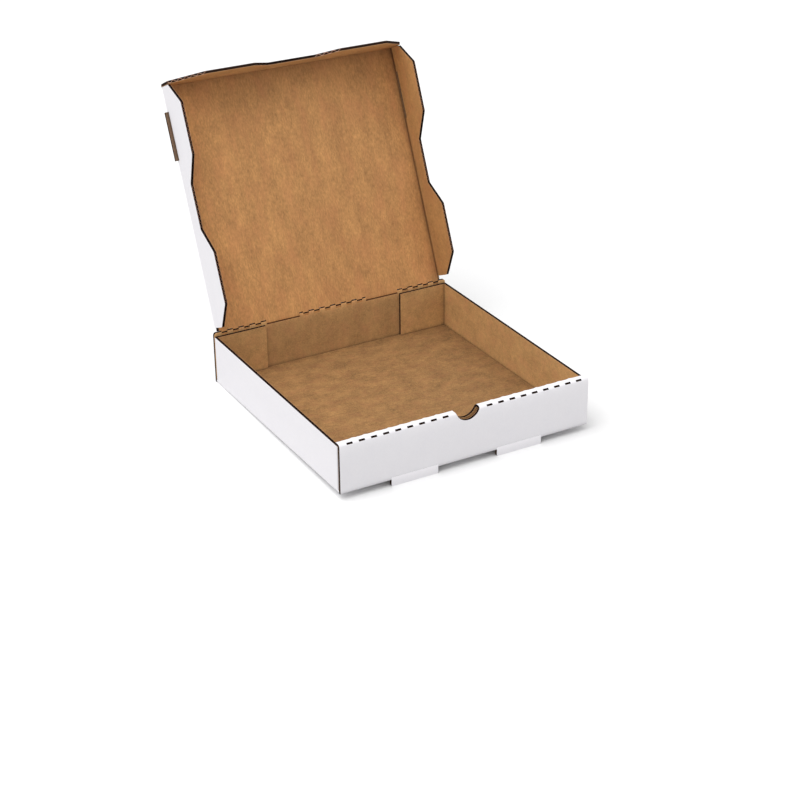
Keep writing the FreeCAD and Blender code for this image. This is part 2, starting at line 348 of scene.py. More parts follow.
def cut(name, red, green, blue):
    """Cut paper edge: one rough tone."""
    return paper(name, tone(red, green, blue), tone(red * 0.7, green * 0.7, blue * 0.7),
                 tone(red * 1.05, green * 0.95, blue), 0.85, stretch=1.0, ridge=0.0)


WHITE = white("white_liner")
# Side walls' white: a painted highlight along the top edge and a painted line of shade in the front fold
WHITE_SIDE = white("white_side_wall",
                   {"Left": (tray_height, 0.1, 1.2), "Near": (front_fold_place, -0.9, 0.6)})
# Lid: painted light on the left, where the left flap shades it, and by the hinge; painted shade along the
# right crease and under the front flap
KRAFT_LID = kraft("kraft_lid", 182, 135, 85, 0.38, 0.24,
                  {"Left": (-half_lid + mitre, 0.22, 45), "Right": (half_lid - mitre, -0.8, 3),
                   "Near": (0, 0.08, 60), "Far": (lid_length - mitre, -0.35, 12)})
# Lugs: the lid's kraft painted darker as shade, with a painted line of shade at their roots
KRAFT_LUG = kraft("kraft_lug", 114, 92, 72, 0.5, 0.2,
                  {"Left": (-half_lid, -0.8, 0.5), "Right": (half_lid, -0.8, 0.5)})
# Floor: kraft painted darker as shade, with painted light on the left and painted shade along the right
# wall
KRAFT_FLOOR = kraft("kraft_floor", 142, 108, 69, 1.3, 0.36,
                    {"Left": (-half_width, 0.3, 60), "Right": (half_width, -0.3, 32)})
KRAFT_WALL = kraft("kraft_wall", 182, 145, 98, 0.8, 0.2)
# Side walls: kraft lighter and less red as painted light against the shade in the tray, a painted line of
# shade at the foot and in the rear corner, and painted light towards the front and the rear end
KRAFT_SIDE = kraft("kraft_side_wall", 187, 150, 101, 0.8, 0.2,
                   {"Left": (wall_foot, -0.6, 1.0), "Near": (front_corner_flap, 0.22, 50),
                    "Middle": (rear_fold_place, -0.75, 1.3), "Far": (side_sheet_end, 0.14, 60)})
# Side flaps: painted light towards their front ends
KRAFT_FLAP = kraft("kraft_flap", 181, 139, 89, 0.5, 0.18, {"Far": (side_flap_end, 0.3, 50)})
KRAFT_FRONT_FLAP = kraft("kraft_front_flap", 184, 141, 90, 0.5, 0.18)
# Cut edge of the white liner: brown as a white-top liner is under its coat, and darker still as painted
# shade
WHITE_EDGE = cut("white_cut_edge", 92, 68, 56)
KRAFT_EDGE = cut("kraft_cut_edge", 214, 168, 124)
# The fluted paper and its cut edges are painted dark as the shade in the flute hollows
FLUTE = cut("fluted_medium", 62, 38, 27)
FLUTE_EDGE = cut("flute_cut_edge", 56, 36, 27)
FLUTE_ENDS = cut("flute_cut_edge_square", 176, 128, 100)
# Slanted cuts of the fluted paper that face the lamp: pale, as a painted highlight
FLUTE_SLANT_HIGHLIGHT = cut("flute_cut_edge_slanted_highlight", 236, 184, 158)
# Backs of the liners inside the flutes and short lines in the lid's crease: near black as painted shade
DEEP_SHADE = cut("painted_deep_shade", 26, 16, 12)
# Valleys of the side flaps' creases and lines along the lid's crease: dark as painted shade
PAINTED_CREASE_SHADE = cut("painted_crease_shade", 96, 64, 42)


# Plates on a grid
def plate(top, under, sheet, solid):
    """Closed plate between two grids of points, wherever a cell of the grid is solid.

    Rows run across the flutes and columns along them. A cell's top and under faces are its four
    corners, and a rim face joins them along each edge where the next cell is not solid.
    Gives points, sheet places, faces and a kind for each face: 0 top, 1 under, 2 rim.
    """
    rows, columns = top.shape[:2]
    count = rows * columns
    index = np.arange(count).reshape(rows, columns)
    a, b, c, d = index[:-1, :-1], index[1:, :-1], index[1:, 1:], index[:-1, 1:]
    upper = np.stack([a, b, c, d], -1)[solid]
    padded = np.pad(solid, 1)
    rims = []
    for first, second, beside in ((a, b, padded[1:-1, :-2]), (b, c, padded[2:, 1:-1]),
                                  (c, d, padded[1:-1, 2:]), (d, a, padded[:-2, 1:-1])):
        edge = solid & ~beside
        first, second = first[edge], second[edge]
        rims.append(np.stack([second, first, first + count, second + count], -1))
    rims = np.concatenate(rims)
    faces = np.concatenate([upper, upper[:, ::-1] + count, rims])
    kinds = np.repeat([0, 1, 2], [len(upper), len(upper), len(rims)])
    points = np.concatenate([top.reshape(-1, 3), under.reshape(-1, 3)])
    places = np.concatenate([sheet.reshape(-1, 2)] * 2)
    corners = points[upper]
    facing = np.cross(corners[:, 2] - corners[:, 0], corners[:, 3] - corners[:, 1])
    if (facing * (points[upper] - points[upper + count]).mean(1)).sum() < 0:
        faces = faces[:, ::-1]
    return points, places, faces, kinds


def make_mesh(name, plates, materials, body):
    """Object from plates given as (points, places, faces, material number of each face)."""
    start, points, places, faces, numbers = 0, [], [], [], []
    for plate_points, plate_places, plate_faces, plate_numbers in plates:
        used, new = np.unique(plate_faces, return_inverse=True)
        points.append(plate_points[used])
        places.append(plate_places[used])
        faces.append(new.reshape(plate_faces.shape) + start)
        numbers.append(plate_numbers)
        start += len(used)
    points, places = np.concatenate(points) * MM, np.concatenate(places) * MM
    faces, numbers = np.concatenate(faces), np.concatenate(numbers)
    mesh = bpy.data.meshes.new(name)
    mesh.vertices.add(len(points))
    mesh.vertices.foreach_set("co", points.astype(np.float32).ravel())
    mesh.loops.add(faces.size)
    mesh.loops.foreach_set("vertex_index", faces.ravel().astype(np.int32))
    mesh.polygons.add(len(faces))
    mesh.polygons.foreach_set("loop_start", np.arange(0, faces.size, 4, dtype=np.int32))
    for material in materials:
        mesh.materials.append(material)
    mesh.polygons.foreach_set("material_index", numbers.astype(np.int32))
    layer = mesh.uv_layers.new(name="sheet")
    layer.uv.foreach_set("vector", places[faces.ravel()].astype(np.float32).ravel())
    mesh.update(calc_edges=True)
    mesh.validate()
    mesh.polygons.foreach_set("use_smooth", np.ones(len(mesh.polygons), bool))
    mesh.set_sharp_from_angle(angle=math.radians(32))
    piece = bpy.data.objects.new(name, mesh)
    bpy.context.scene.collection.objects.link(piece)
    if body:
        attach(piece, body)
    return piece


def liners(outer, inner, sheet, solid):
    """White liner on the outer grid and kraft liner on the inner grid, as two plates."""
    share = liner / np.linalg.norm(inner - outer, axis=-1, keepdims=True)
    points, places, faces, kinds = plate(outer, outer + (inner - outer) * share, sheet, solid)
    # The backs of both liners take material 4, painted near black as the shade in the flute hollows
    white = points, places, faces, np.choose(kinds, [0, 4, 2])
    points, places, faces, kinds = plate(inner, inner + (outer - inner) * share, sheet, solid)
    return [white, (points, places, faces, np.choose(kinds, [1, 4, 3]))]


def flutes(outer, inner, sheet, solid):
    """Fluted paper between the liners, on rows added a short step apart.

    Its middle is a sine of the place across the flutes, between the two liners, and its two
    sides stand off by half its thickness, measured square to the sine. Faces are numbered 0 for
    the paper, 1 for a cut edge, 2 where the cut is square to the flutes and 3 where it is slanted
    and doesn't face right, so faces the lamp on the left and takes a painted highlight.
    """
    across = sheet[:, :, 1].mean(1)
    rows = [np.linspace(start, end, max(2, int(np.ceil((end - start) / flute_step)) + 1))[:-1]
            for start, end in zip(across[:-1], across[1:])]
    fine = np.append(np.concatenate(rows), across[-1])
    band = np.clip(np.searchsorted(across, fine, side="right") - 1, 0, len(across) - 2)
    part = ((fine - across[band]) / (across[band + 1] - across[band]))[:, None, None]
    outer, inner, sheet = [grid[band] * (1 - part) + grid[band + 1] * part
                           for grid in (outer, inner, sheet)]
    turn = 2 * np.pi / flute_pitch
    height = board / 2 - liner - medium / 2
    wave = (height * np.sin(turn * fine))[:, None, None]
    half = (medium / 2 * np.hypot(1, height * turn * np.cos(turn * fine)))[:, None, None]
    half = np.minimum(half, board / 2 - liner - np.abs(wave))
    upward = (inner - outer) / board
    middle = (outer + inner) / 2 + upward * wave
    offset = upward * half
    points, places, faces, kinds = plate(middle + offset, middle - offset, sheet, solid[band[:-1]])
    step = np.abs(places[faces[:, 1]] - places[faces[:, 0]]) > 0.02
    corners = points[faces]
    facing = np.cross(corners[:, 2] - corners[:, 0], corners[:, 3] - corners[:, 1])
    # Slanted cuts that face the lamp on the left, for a painted highlight
    lit = facing[:, 0] < 0.3 * np.linalg.norm(facing, axis=1)
    numbers = np.choose(kinds, [0, 0, 1])
    numbers[(kinds == 2) & step[:, 1] & ~step[:, 0]] = 2
    numbers[(kinds == 2) & step[:, 1] & step[:, 0] & lit] = 3
    return points, places, faces, numbers


def make_board(name, body, kraft_face, boards, white_face=WHITE, square=FLUTE_EDGE,
               slanted=FLUTE_EDGE):
    """Liners and fluted paper of one or more boards, each as (outer, inner, sheet, solid). square
    and slanted are the materials of the fluted paper's cuts that are square to it or slanted."""
    skins = [skin for grids in boards for skin in liners(*grids)]
    panel = make_mesh(name, skins, [white_face, kraft_face, WHITE_EDGE, KRAFT_EDGE, DEEP_SHADE], body)
    make_mesh(name + "_flutes", [flutes(*grids) for grids in boards],
              [FLUTE, FLUTE_EDGE, square, slanted], body)
    return panel


# Outlines and places
def travelled(points):
    """Distance along a line of points, from its start."""
    return np.concatenate([[0], np.cumsum(np.linalg.norm(np.diff(points, axis=0), axis=1))])


def arc(centre, radius, start, end, steps=6):
    """Points on a circle about a centre from one angle to another, in degrees."""
    angles = np.radians(np.linspace(start, end, steps + 1))
    return np.stack([centre[0] + radius * np.cos(angles), centre[1] + radius * np.sin(angles)], 1)


def rounded(corners, radius, steps=5):
    """Line through corners with each inner one turned by a quadratic curve that leaves both sides
    at the place where a circle of that radius would touch them."""
    corners = np.array(corners, float)
    line = [corners[:1]]
    part = np.linspace(0, 1, steps + 1)[:, None]
    for before, corner, after in zip(corners[:-2], corners[1:-1], corners[2:]):
        back = (before - corner) / np.linalg.norm(before - corner)
        on = (after - corner) / np.linalg.norm(after - corner)
        half_angle = math.acos(float(np.clip(back @ on, -1, 1))) / 2
        reach = radius / math.tan(half_angle)
        line.append(corner + reach * ((1 - part) ** 2 * back + part ** 2 * on))
    line.append(corners[-1:])
    return np.concatenate(line)


def stacked(*coordinates):
    """Points from their coordinates, each spread to the shape that all of them share."""
    return np.stack(np.broadcast_arrays(*coordinates), -1)


def middles(values):
    """Middle of each step of a line of values."""
    return (values[1:] + values[:-1]) / 2


def between(values, low, high):
    """Whether each value lies between two limits."""
    return (values > low) & (values < high)


def lip_spans():
    """Start and end of each tooth of the lid's crease, from left to right."""
    middle = (np.arange(lips_in_middle) - (lips_in_middle - 1) / 2) * slit_pitch
    full = np.stack([middle - slit_length / 2, middle + slit_length / 2], 1)
    short_start = (lips_in_middle + 1) / 2 * slit_pitch - slit_length / 2
    side = half_width - lip_side_margin + np.arange(lips_at_side + 1) * slit_pitch
    right_ends = np.append(short_start + lip_end_length, side + slit_length)
    right = np.stack([np.append(short_start, side), right_ends], 1)
    right[-1, 1] = half_width
    return np.concatenate([-right[::-1, ::-1], full, right])


def in_lips(columns, gap):
    """Whether each step between columns lies in a tooth or in the gap beside one."""
    spans = lip_spans() + np.array([-gap, gap])
    return between(middles(columns)[:, None], spans[:, 0], spans[:, 1]).any(1)


def slit_centres():
    """Middle of each slit of the rolled edge."""
    side = half_width - slit_margin - slit_length / 2 - np.arange(slits_each_side) * slit_pitch
    return np.sort(np.concatenate([side, -side]))


def along_x(profile_outer, profile_inner, columns, across):
    """Board whose profile lies in the YZ plane, carried along X: columns may differ by row."""
    outer, inner = [stacked(columns, line[:, :1], line[:, 1:]) for line in (profile_outer, profile_inner)]
    return outer, inner, stacked(columns, across[:, None])


# Tray
def front_profile():
    """Rolled front from the floor's fold to the foot of the inner panel.

    Gives the white line, the kraft line and, for each row, the distance on the sheet from the
    middle of the rolled edge, which is where the thumb hole is struck.
    """
    panel_y = roll_y - board
    top = tray_height - board
    hole_z = tray_height - board / 2 + roll_width / 2
    middle_y = (front_y + roll_y) / 2
    hole_end = math.degrees(math.acos((hole_z - top) / notch_radius))
    hole_rows = hole_z - notch_radius * np.cos(np.radians(np.linspace(notch_foot, hole_end, 9)))
    wall_z = np.concatenate([[fold_end], front_wall_rows, hole_rows])
    slit_half = math.degrees(slit_width / 2 / board)
    bend_turns = np.array([0, 9, 18, 45 - slit_half, 45, 45 + slit_half, 72, 81, 90])
    front_bend, rear_bend = np.radians(180 - bend_turns), np.radians(90 - bend_turns)
    bend_y = front_y + board
    fold = arc((front_y + fold_radius, fold_radius), fold_radius, 270, 180, 4)
    white = [[[ply_y, 0]], fold, stacked(front_y, wall_z),
             stacked(bend_y + board * np.cos(front_bend), top + board * np.sin(front_bend))[1:],
             [[middle_y, tray_height]],
             stacked(panel_y + board * np.cos(rear_bend), top + board * np.sin(rear_bend)),
             stacked(roll_y, wall_z[::-1])[1:-1], [[roll_y, wall_foot]]]
    kraft = [[[ply_y, board]], np.full((len(fold), 2), (bend_y, board)), stacked(bend_y, wall_z),
             np.full((len(front_bend) - 1, 2), (bend_y, top)), [[middle_y, top]],
             np.full((len(rear_bend), 2), (panel_y, top)),
             stacked(panel_y, wall_z[::-1])[1:-1], [[panel_y, wall_foot]]]
    bend_part = bend_turns / 90
    side_reach, top_reach = hole_z - top, middle_y - bend_y
    away = [[hole_z + board], np.full(len(fold), hole_z), hole_z - wall_z,
            (side_reach + (top_reach - side_reach) * bend_part)[1:], [0.0],
            top_reach + (side_reach - top_reach) * bend_part, (hole_z - wall_z)[::-1][1:-1],
            [hole_z - wall_foot]]
    return np.concatenate(white), np.concatenate(kraft), np.concatenate(away)


def front_board():
    """Front wall, rolled edge and inner panel, with slits along both bends and the thumb hole."""
    white, kraft, away = front_profile()
    across = travelled((white + kraft) / 2)
    slits = slit_centres()
    slit_ends = np.sort(np.concatenate([slits - slit_length / 2, slits + slit_length / 2]))
    between_slits = (slit_ends[1:-1:2] + slit_ends[2::2]) / 2
    between_slits = between_slits[np.abs(between_slits) > notch_radius]
    panel_end = half_width - board - edge_gap
    left = -np.array([half_width, panel_end, foot_outer, foot_inner])
    left = np.sort(np.concatenate([left, slit_ends[slit_ends < 0], between_slits[between_slits < 0]]))
    foot_half = notch_radius * math.sin(math.radians(notch_foot))
    hole_half = np.sqrt(np.maximum(notch_radius ** 2 - away ** 2, foot_half ** 2))[:, None]
    left_columns = np.broadcast_to(left, (len(away), len(left)))
    columns = np.concatenate([left_columns, -hole_half, hole_half, -left_columns[:, ::-1]], 1)
    outer, inner, sheet = along_x(white, kraft, columns, across)
    centres = np.append(middles(left), left[-1] / 2)
    centres = np.concatenate([centres, [0.0], -centres[::-1]])
    row_y, row_z = middles(white).T
    solid = np.ones((len(away) - 1, columns.shape[1] - 1), bool)
    # Between the slits the rolled edge swells a little at its rear bend
    swell = np.isclose(np.abs(columns[0][:, None]), between_slits[between_slits > 0]).any(1)
    panel_y, top = roll_y - board, tray_height - board
    on_bend = (white[:, 0] > panel_y - 0.01) & (white[:, 1] >= top - 0.01)
    bend_turn = np.arctan2(white[:, 1] - top, white[:, 0] - panel_y)
    push = slit_bulge * np.sin(2 * np.clip(bend_turn, 0, np.pi / 2)) * on_bend
    outer[:, swell, 1] += (push * np.cos(bend_turn))[:, None]
    outer[:, swell, 2] += (push * np.sin(bend_turn))[:, None]
    # Thumb hole
    in_hole = middles(away) < notch_radius * math.cos(math.radians(notch_foot))
    solid[np.ix_(in_hole, centres == 0)] = False
    # Slits, in the two rows beside the middle of each bend
    bend_middle = board * math.sin(math.radians(45))
    slit_rows = np.zeros(len(row_z), bool)
    for centre_y, sign in ((front_y + board, -1), (panel_y, 1)):
        off = np.hypot(row_y - centre_y - sign * bend_middle, row_z - top - bend_middle)
        slit_rows |= off < slit_width * 0.52
    in_slit = (np.abs(centres[:, None] - slits) < slit_length / 2).any(1)
    solid[np.ix_(slit_rows, in_slit)] = False
    # The inner panel stops short of the side walls, and the feet stand on their own
    solid[np.ix_((row_y > panel_y) & (row_z < top), np.abs(centres) > panel_end)] = False
    fold_rows = (row_z < board) & (row_y < ply_y)
    solid[np.ix_(fold_rows, between(np.abs(centres), foot_inner, foot_outer))] = False
    return outer, inner, sheet, solid


def hanging_board(outer_y, inner_y, z_rows, inner_edges, outer_edges, side):
    """Foot or tab: a short upright board that hangs from another, its ends given for each row."""
    columns = side * np.stack([inner_edges, outer_edges], 1)
    grids = along_x(stacked(outer_y, z_rows), stacked(inner_y, z_rows), columns,
                    tray_height + np.abs(z_rows - z_rows[0]))
    return (*grids, np.ones((len(z_rows) - 1, 1), bool))


def feet_and_tabs():
    """Two feet below the front wall and two tabs below the inner panel."""
    turns = np.radians(np.linspace(0, 84, 6))
    radius = corner_radius / 2
    foot_rows = np.concatenate([[board], foot_bottom + radius * (1 - np.sin(turns))])
    inset = np.concatenate([[0], radius * (1 - np.cos(turns))])
    tab_rows = np.array([wall_foot, tab_bottom + tab_chamfer, tab_bottom])
    tab_inset = edge_gap + np.array([0, 0, tab_chamfer])
    foot = front_y, front_y + board, foot_rows, foot_inner + inset, foot_outer - inset
    tab = roll_y, roll_y - board, tab_rows, foot_inner + tab_inset, foot_outer - tab_inset
    return [hanging_board(*sizes, side) for side in (-1, 1) for sizes in (foot, tab)]


def floor_board():
    """Floor with the folds of both side walls, on a profile in the XZ plane carried along Y."""
    half = half_width - fold_radius
    fold = arc((half, fold_radius), fold_radius, -90, 0, 5)
    white = np.concatenate([[(foot_inner, 0), (foot_outer, 0)], fold, [(half_width, wall_foot)]])
    inside = half_width - board
    kraft = np.concatenate([[(foot_inner, board), (foot_outer, board)],
                            np.full((len(fold), 2), (inside, board)), [(inside, wall_foot)]])
    white, kraft = [np.concatenate([(line * (-1, 1))[::-1], line]) for line in (white, kraft)]
    rows = np.array([ply_y, roll_y + ply_gap, *floor_rows, rear_ply_y])[:, None]
    outer, inner = [stacked(line[:, 0], rows, line[:, 1]) for line in (white, kraft)]
    along = travelled(white) - travelled(white)[-1] / 2
    solid = np.ones((len(rows) - 1, len(along) - 1), bool)
    solid[0, between(np.abs(middles(white[:, 0])), foot_inner, foot_outer)] = False
    return outer, inner, stacked(along, rows - front_y + tray_height), solid


def side_board(side):
    """Side wall and its two corner flaps, on a plan profile carried along Z."""
    front_end, rear_end = half_width - front_corner_flap, half_width - rear_corner_flap
    inside = half_width - board
    near = arc((half_width - fold_radius, ply_y + fold_radius), fold_radius, -90, 0, 5)
    far = arc((half_width - fold_radius, rear_ply_y - fold_radius), fold_radius, 0, 90, 5)
    slope_start = roll_y + ply_gap
    wall_rows = [slope_start, *side_wall_rows]
    near_y, far_y = ply_y + board, rear_ply_y - board
    white = np.concatenate([stacked([front_end, front_corner_row], ply_y), near,
                            stacked(half_width, wall_rows), far,
                            stacked([rear_corner_row, rear_end], rear_ply_y)])
    kraft = np.concatenate([stacked([front_end, front_corner_row], near_y),
                            np.full((len(near), 2), (inside, near_y)),
                            stacked(inside, wall_rows), np.full((len(far), 2), (inside, far_y)),
                            stacked([rear_corner_row, rear_end], far_y)])
    top = np.interp(white[:, 1], [slope_start, far_y], [side_front_height, side_rear_height])
    height = wall_foot + (top[:, None] - wall_foot) * np.array([0.0, 0.5, 1.0])
    outer, inner = [stacked(side * line[:, :1], line[:, 1:], height) for line in (white, kraft)]
    sheet = stacked(height, travelled((white + kraft) / 2)[:, None])
    return outer, inner, sheet, np.ones((len(white) - 1, 2), bool)


def back_board():
    """Back wall with its fold and the teeth that stand up through the lid's crease. The last tooth
    of each side runs out to a rounded corner."""
    fold = arc((back_y - fold_radius, fold_radius), fold_radius, -90, 0, 5)
    round_start = lip_top - corner_radius
    heights = np.array([fold_end, back_wall_row, hinge_z - hinge_reach, round_start, *lip_corner_rows,
                        lip_top])
    white = np.concatenate([[(rear_ply_y, 0)], fold, stacked(back_y, heights)])
    kraft = np.concatenate([[(rear_ply_y, board)], np.full((len(fold), 2), (back_y - board, board)),
                            stacked(back_y - board, heights)])
    edges = np.sort(lip_spans().ravel())[1:-1]
    drop = np.clip((white[:, 1] - round_start) / corner_radius, 0, 1)
    end = half_width - corner_radius * (1 - np.sqrt(1 - drop ** 2))
    edges = np.broadcast_to(edges, (len(end), len(edges)))
    columns = np.concatenate([-end[:, None], edges, end[:, None]], 1)
    grids = along_x(white, kraft, columns, travelled((white + kraft) / 2) + tray_height - 2 * front_y)
    solid = np.ones((len(white) - 1, columns.shape[1] - 1), bool)
    solid[middles(white[:, 1]) > hinge_z - hinge_reach] = in_lips(columns[0], 0.0)
    return (*grids, solid)


# Lid
def on_lid(x, along, depth):
    """Points of the lid's own frame: across, along from the crease axis, and above its middle."""
    lean_sin, lean_cos = math.sin(lid_lean), math.cos(lid_lean)
    return stacked(x, hinge_y + along * lean_sin - depth * lean_cos,
                   hinge_z + along * lean_cos + depth * lean_sin)


def lid_board():
    """Lid panel with mitred creases, notches for the teeth and a lug on each side. Gives the panel
    and its lugs as two boards."""
    rows = [hinge_reach, notch_depth, *lid_rows, lug_start, lug_start + lug_length, side_flap_end,
            side_flap_end + 0.01, lid_length - crease_reach]
    rows = np.sort(rows)[:, None]
    rows_kraft = rows.copy()
    rows_kraft[-1] = lid_length - mitre
    notch_ends = np.sort((lip_spans() + np.array([-ply_gap, ply_gap])).ravel())[1:-1]
    notch_ends = np.broadcast_to(notch_ends, (len(rows), len(notch_ends)))
    lug = np.full((len(rows), 1), lug_end)
    columns = []
    for root in (crease_reach, mitre):
        edge = np.where(rows > side_flap_end + 0.005, half_lid, half_lid - root)
        columns.append(np.concatenate([-lug, -edge, notch_ends, edge, lug], 1))
    outer = on_lid(columns[0], rows, -board / 2)
    inner = on_lid(columns[1], rows_kraft, board / 2)
    sheet = stacked(columns[0], rows)
    solid = np.ones((len(rows) - 1, columns[0].shape[1] - 1), bool)
    solid[0] = ~in_lips(columns[0][0], ply_gap)
    solid[:, [0, -1]] = False
    lugs = np.zeros_like(solid)
    lugs[:, [0, -1]] = between(middles(rows), lug_start, lug_start + lug_length)
    return (outer, inner, sheet, solid), (outer, inner, sheet, lugs)


def side_flap_outline():
    """Free edge of a side flap as (along, depth), with its corners rounded."""
    lobes = [(place, side_lobe_depth) for place in side_lobes]
    waist = [(place, side_waist_depth) for place in side_waist]
    corners = [(side_flap_start, 0), (side_flap_start, side_start_depth), *lobes[:2], *waist, *lobes[2:],
               (side_flap_corner, side_end_depth)]
    return rounded(corners, corner_radius)[1:]


def side_flap_board(side):
    """Side flap, folded up square from the lid, with the slot that the lid's lug passes through."""
    line = side_flap_outline()
    along = np.unique(np.concatenate([line[:, 0], slot_ends, side_flap_rows]).round(6))
    slot_depth = math.hypot(lug_end - half_lid, board) + edge_gap
    beyond = np.interp(along, line[:, 0], line[:, 1])[:, None] - slot_depth
    free = slot_depth + beyond * np.array([0.0, 0.5, 1.0])
    grids = []
    for root, x in ((crease_reach, half_lid), (mitre, half_lid - board)):
        depth = np.concatenate([np.full((len(along), 1), root), free], 1)
        grids.append(on_lid(side * x, along[:, None], depth - board / 2))
    sheet = stacked(side * (half_lid + depth), along[:, None])
    solid = np.ones((len(along) - 1, 3), bool)
    solid[between(middles(along), *slot_ends), 0] = False
    return (*grids, sheet, solid)


def front_flap_board():
    """Front flap with two lobes; its columns follow the slanting ends of the lobes row by row."""
    deep, waist = front_lobe_depth, front_waist_depth
    outline = rounded([(front_flap_end, 0), (front_flap_end, front_end_depth), (front_lobe[1], deep),
                       (front_lobe[0], deep), (front_waist, waist), (0, waist)], corner_radius)
    peaks = np.flatnonzero(outline[:, 1] >= deep - 1e-6)
    outer_side, inner_side = outline[:peaks[0] + 1], outline[peaks[-1]:][::-1]
    rows = np.unique(np.concatenate([outer_side[:, 1], inner_side[:, 1]]).round(5))
    rows = np.concatenate([[crease_reach, mitre], rows[rows > mitre + 0.5]])
    outer_x = np.interp(rows, outer_side[:, 1], outer_side[:, 0])
    inner_x = np.interp(rows, inner_side[:, 1], inner_side[:, 0])
    inner_x = np.where(rows < waist + 1e-4, inner_side[1, 0], inner_x)
    right = np.stack([inner_x, (outer_x + inner_x) / 2, outer_x], 1)
    columns = np.concatenate([-right[:, ::-1], right], 1)
    turned = np.array([math.cos(front_fold), math.sin(front_fold)])
    square = np.array([-turned[1], turned[0]])
    grids = []
    for lift, first in ((0.0, crease_reach), (board, mitre)):
        depth = rows.copy()
        depth[0] = first
        depth[1] = max(rows[1], first + 0.01)
        along = lid_length + depth * turned[0] + lift * square[0]
        above = -board / 2 + depth * turned[1] + lift * square[1]
        grids.append(on_lid(columns, along[:, None], above[:, None]))
    solid = np.ones((len(rows) - 1, 5), bool)
    solid[middles(rows) > waist, 2] = False
    return (*grids, stacked(columns, lid_length + rows[:, None]), solid)


# Creases that lie between two bodies
def crease_plates(place, spans, top, under):
    """One plate between two lines that run across a crease, for each span along it. place turns
    (step along the crease, across, above) into points."""
    plates = []
    for span in spans:
        along = np.array(span)[:, None]
        grids = [place(along, line[:, 0], line[:, 1]) for line in (top, under)]
        plates.append(plate(*grids, stacked(along, travelled(top)), np.ones((1, len(top) - 1), bool)))
    return plates


def crease_curve(back, on, reach, steps=8):
    """Quadratic curve round a corner at the origin, from reach along back to reach along on."""
    part = np.linspace(0, 1, steps + 1)[:, None]
    return reach * ((1 - part) ** 2 * np.asarray(back) + part ** 2 * np.asarray(on))


def white_crease(name, place, spans, fold):
    """Outer liner round a folded crease."""
    back, on = np.array([-1.0, 0.0]), np.array([math.cos(fold), math.sin(fold)])
    line = crease_curve(back, on, crease_reach)
    starts = line[0] + np.array([0.0, liner])
    ends = line[-1] + np.array([-math.sin(fold), math.cos(fold)]) * liner
    inner = starts + (ends - starts) * np.linspace(0, 1, len(line))[:, None]
    plates = crease_plates(place, spans, line, inner)
    piece = make_mesh(name, plates, [WHITE, DEEP_SHADE, WHITE_EDGE], None)
    start, end = [place(0.0, *line[k]) * MM for k in (0, -1)]
    tuple(start)
    tuple(end)
    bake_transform(piece)


def kraft_crease(name, place, spans, fold, deep):
    """Inner liner in the valley of a folded crease, doubled down towards the crease axis. deep is
    the material number of its inner part; number 3 is painted shade in the valley."""
    back, on = np.array([-1.0, 0.0]), np.array([math.cos(fold), math.sin(fold)])
    up_back, up_on = np.array([0.0, 1.0]), np.array([-math.sin(fold), math.cos(fold)])
    bisector = (back + on) / np.linalg.norm(back + on)
    across = (on - back) / np.linalg.norm(on - back)
    first, last = mitre * back + board * up_back, mitre * on + board * up_on
    gap = (last - first) @ across / 2
    depths = np.array([1.0, 0.62, 0.25, 0.0, 0.25, 0.62, 1.0])
    sides = np.array([-1.0, -0.7, -0.4, 0.0, 0.4, 0.7, 1.0]) * gap
    reach = valley_depth + ((first @ bisector) - valley_depth) * depths
    line = reach[:, None] * bisector + sides[:, None] * across
    outward = np.sign(sides)[:, None]
    under = line + outward * across * liner - (outward == 0) * bisector * liner
    plates = crease_plates(place, spans, line, under)
    # Inner part of the valley, painted with shade when deep is 3
    for _, _, _, numbers in plates:
        numbers[1:5] = deep
    piece = make_mesh(name, plates, [KRAFT_LID, DEEP_SHADE, KRAFT_EDGE, PAINTED_CREASE_SHADE], None)
    middle = first @ bisector * bisector
    start, end = [place(0.0, *(middle + sign * gap * 0.8 * across)) * MM for sign in (-1, 1)]
    tuple(start)
    tuple(end)
    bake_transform(piece)


def lid_creases():
    """White and kraft creases of the two side flaps and of the front flap."""
    spans = [(side_flap_start, slot_ends[0]), (slot_ends[1], side_flap_end)]
    for side, child in ((1, "right_flap"), (-1, "left_flap")):
        def place(along, across, above, side=side):
            return on_lid(side * (half_lid + across), along, above - board / 2)
        white_crease(child + "_crease_white", place, spans, math.radians(90))
        kraft_crease(child + "_crease_kraft", place, spans, math.radians(90), 3)

    def front_place(x, across, above):
        return on_lid(x, lid_length + across, above - board / 2)
    spans = [(-front_flap_end, front_flap_end)]
    white_crease("front_flap_crease_white", front_place, spans, front_fold)
    kraft_crease("front_flap_crease_kraft", front_place, spans, front_fold, 0)


